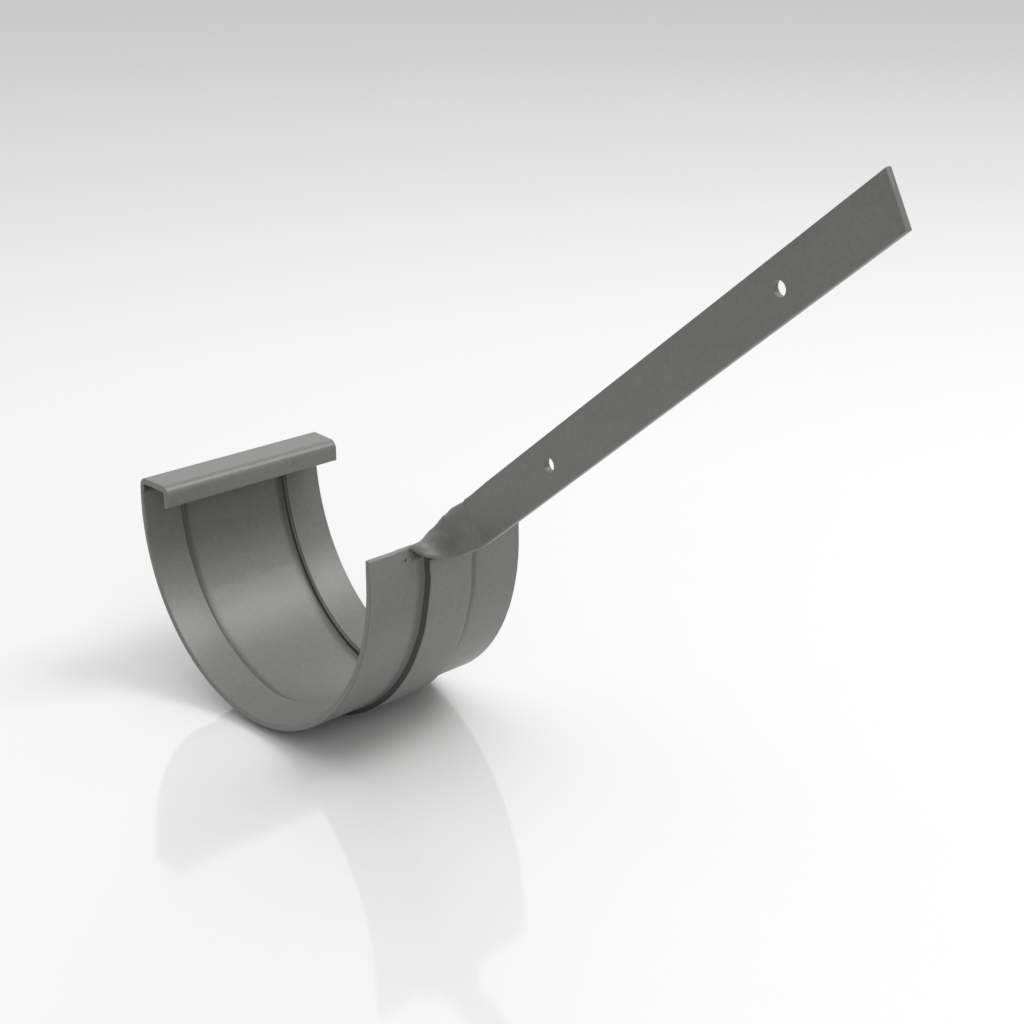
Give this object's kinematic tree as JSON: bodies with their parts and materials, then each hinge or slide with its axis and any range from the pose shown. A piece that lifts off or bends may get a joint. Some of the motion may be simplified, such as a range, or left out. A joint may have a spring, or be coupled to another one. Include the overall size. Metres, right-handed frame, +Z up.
{
  "type": "gutter bracket",
  "caption": "Half-round gutter bracket folded from one sheet: ribbed seat band with a front hook and a twisted side arm with screw holes, dark grey finish.",
  "frame": {"origin": "on the axis of the half-round gutter, at the middle of the band's width", "axes": "+Y along the gutter's axis, -X towards the front hook, +X towards the arm and the building, +Z up"},
  "size_m": [0.2903, 0.0662, 0.1995],
  "materials": {
    "coated_sheet": "satin, fine-grained dark grey coating"
  },
  "bodies": {
    "root": {"gutter_bracket": "coated_sheet"}
  },
  "joints": []
}
